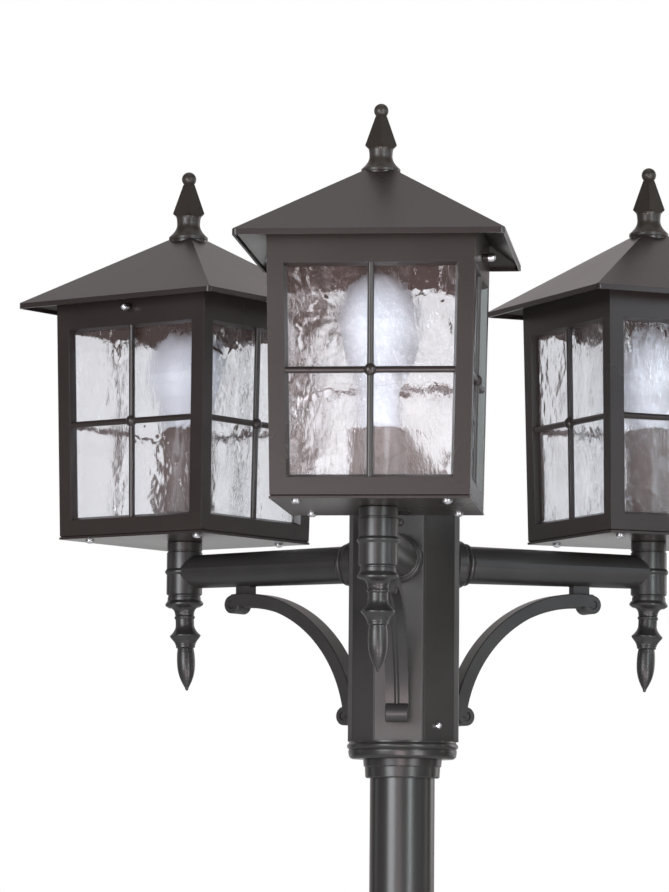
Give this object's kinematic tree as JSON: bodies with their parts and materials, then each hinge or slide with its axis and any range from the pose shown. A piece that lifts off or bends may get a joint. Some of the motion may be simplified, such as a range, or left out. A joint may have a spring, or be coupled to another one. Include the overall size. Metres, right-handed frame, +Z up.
{
  "type": "garden lamp post",
  "caption": "Tall round post carrying square glazed lanterns on scroll-braced arms, with pyramid roofs and turned finials.",
  "frame": {"origin": "centre of the foot's underside, on the pole's axis, at ground level", "axes": "+Z up the pole, -Y along the front arm"},
  "size_m": [0.7622, 0.6612, 2.3009],
  "materials": {
    "coated_metal": "satin dark grey-brown powder coat",
    "window_glass": "clear with a wavy, hammered surface",
    "lamp_diffuser": "white translucent",
    "socket_ceramic": "white glazed",
    "bright_screw": "bright",
    "brass_nipple": "machined"
  },
  "bodies": {
    "root": {"foot": "coated_metal", "pole": "coated_metal", "pole_sleeve": "coated_metal", "head_ring": "coated_metal", "head_column": "coated_metal", "head_cap": "coated_metal", "arm_plate_front": "coated_metal", "arm_plate_right": "coated_metal", "arm_plate_left": "coated_metal", "arm_front": "coated_metal", "arm_right": "coated_metal", "arm_left": "coated_metal", "spacer_front": "coated_metal", "spacer_right": "coated_metal", "spacer_left": "coated_metal", "bracket_front": "coated_metal", "bracket_right": "coated_metal", "bracket_left": "coated_metal", "drop_finial_front": "coated_metal", "drop_finial_right": "coated_metal", "drop_finial_left": "coated_metal", "floor_plate_front": "coated_metal", "floor_plate_right": "coated_metal", "floor_plate_left": "coated_metal", "lantern_frame_front": "coated_metal", "lantern_frame_right": "coated_metal", "lantern_frame_left": "coated_metal", "roof_front": "coated_metal", "roof_right": "coated_metal", "roof_left": "coated_metal", "roof_finial_front": "coated_metal", "roof_finial_right": "coated_metal", "roof_finial_left": "coated_metal", "lamp_cover_front": "coated_metal", "lamp_cover_right": "coated_metal", "lamp_cover_left": "coated_metal", "lamp_socket_front": "socket_ceramic", "lamp_socket_right": "socket_ceramic", "lamp_socket_left": "socket_ceramic", "lamp_front": "lamp_diffuser", "lamp_right": "lamp_diffuser", "lamp_left": "lamp_diffuser", "pane_front_outer": "window_glass", "pane_front_right": "window_glass", "pane_front_inner": "window_glass", "pane_front_left": "window_glass", "pane_right_outer": "window_glass", "pane_right_right": "window_glass", "pane_right_inner": "window_glass", "pane_right_left": "window_glass", "pane_left_outer": "window_glass", "pane_left_right": "window_glass", "pane_left_inner": "window_glass", "pane_left_left": "window_glass", "conduit_nipples": "brass_nipple", "floor_screws": "bright_screw", "roof_screws": "bright_screw", "plate_screws": "coated_metal", "grub_screws": "bright_screw"}
  },
  "joints": []
}
